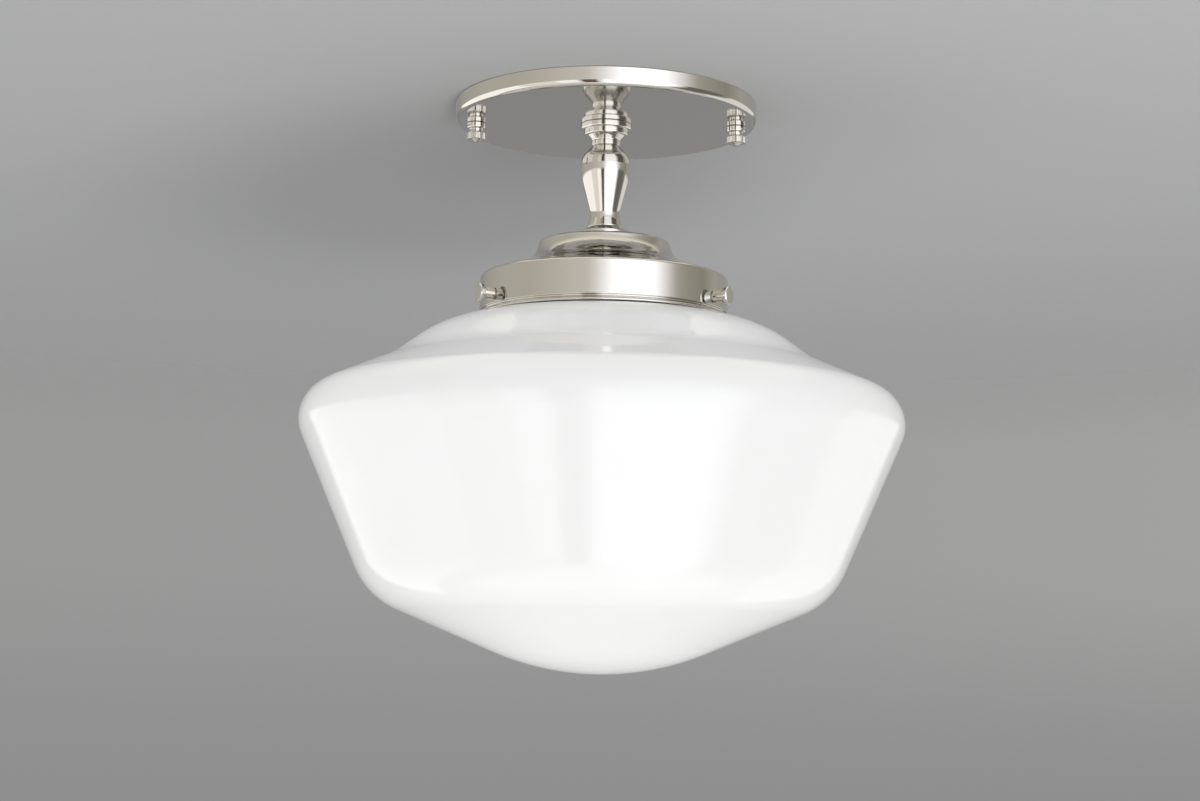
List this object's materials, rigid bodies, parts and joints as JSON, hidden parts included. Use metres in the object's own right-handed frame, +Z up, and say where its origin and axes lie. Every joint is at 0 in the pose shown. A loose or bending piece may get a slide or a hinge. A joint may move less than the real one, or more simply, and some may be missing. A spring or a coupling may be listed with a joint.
{
  "type": "semi flush ceiling light",
  "caption": "Semi flush ceiling light: shallow round canopy, turned vase stem and spun holder whose thumb screws carry a wide opal schoolhouse globe round a screw-base lamp.",
  "frame": {"origin": "centre of the crossbar's box slots, on the ceiling plane", "axes": "+Z up into the ceiling; +X along the crossbar; the picture looks along +Y"},
  "size_m": [0.2498, 0.2498, 0.238],
  "materials": {
    "polished_nickel": "polished nickel plate",
    "zinc_steel": "zinc-plated steel, satin",
    "green_screw": "green-dyed steel",
    "opal_glass": "glossy opal white",
    "glazed_porcelain": "glazed white porcelain",
    "plain_brass": "bare brass",
    "lamp_aluminium": "bright aluminium",
    "lamp_insulator_glass": "dark vitreous insulator",
    "solder": "dull solder",
    "frosted_glass": "inside-frosted lamp glass"
  },
  "bodies": {
    "fixture": {"crossbar": "zinc_steel", "ground_screw": "green_screw", "canopy": "polished_nickel", "stem_pipe": "zinc_steel", "pipe_lock_washer": "zinc_steel", "pipe_top_nut": "zinc_steel", "stem_collar": "polished_nickel", "stem_vase": "polished_nickel", "stem_base": "polished_nickel", "globe_holder": "polished_nickel", "holder_washer": "zinc_steel", "holder_nut": "zinc_steel", "globe": "opal_glass", "socket_bracket": "zinc_steel", "bracket_screws": "zinc_steel", "socket_body": "glazed_porcelain", "terminal_screws": "plain_brass", "screw_shell": "plain_brass", "centre_contact": "plain_brass", "canopy_stud_left": "zinc_steel", "canopy_stud_right": "zinc_steel", "stud_lock_nut_left": "zinc_steel", "stud_lock_nut_right": "zinc_steel"},
    "canopy_nut_left": {"canopy_nut_left": "polished_nickel"},
    "canopy_nut_right": {"canopy_nut_right": "polished_nickel"},
    "thumb_screw_left": {"thumb_screw_left": "polished_nickel"},
    "thumb_screw_right": {"thumb_screw_right": "polished_nickel"},
    "thumb_screw_back": {"thumb_screw_back": "polished_nickel"},
    "lamp": {"lamp_cap": "lamp_aluminium", "lamp_insulator": "lamp_insulator_glass", "lamp_contact": "solder", "lamp_glass": "frosted_glass"}
  },
  "joints": [
    {"name": "canopy_nut_left_unscrew", "type": "slide", "parent": "fixture", "child": "canopy_nut_left", "axis": [0, 0, -1], "range_m": [0, 0.0055]},
    {"name": "canopy_nut_right_unscrew", "type": "slide", "parent": "fixture", "child": "canopy_nut_right", "axis": [0, 0, -1], "range_m": [0, 0.0055]},
    {"name": "thumb_screw_left_back_out", "type": "slide", "parent": "fixture", "child": "thumb_screw_left", "axis": [-0.866, -0.5, 0], "range_m": [0, 0.0034]},
    {"name": "thumb_screw_right_back_out", "type": "slide", "parent": "fixture", "child": "thumb_screw_right", "axis": [0.866, -0.5, 0], "range_m": [0, 0.0034]},
    {"name": "thumb_screw_back_back_out", "type": "slide", "parent": "fixture", "child": "thumb_screw_back", "axis": [0, 1, 0], "range_m": [0, 0.0034]},
    {"name": "lamp_unscrew", "type": "slide", "parent": "fixture", "child": "lamp", "axis": [0, 0, -1], "range_m": [0, 0.018]}
  ]
}
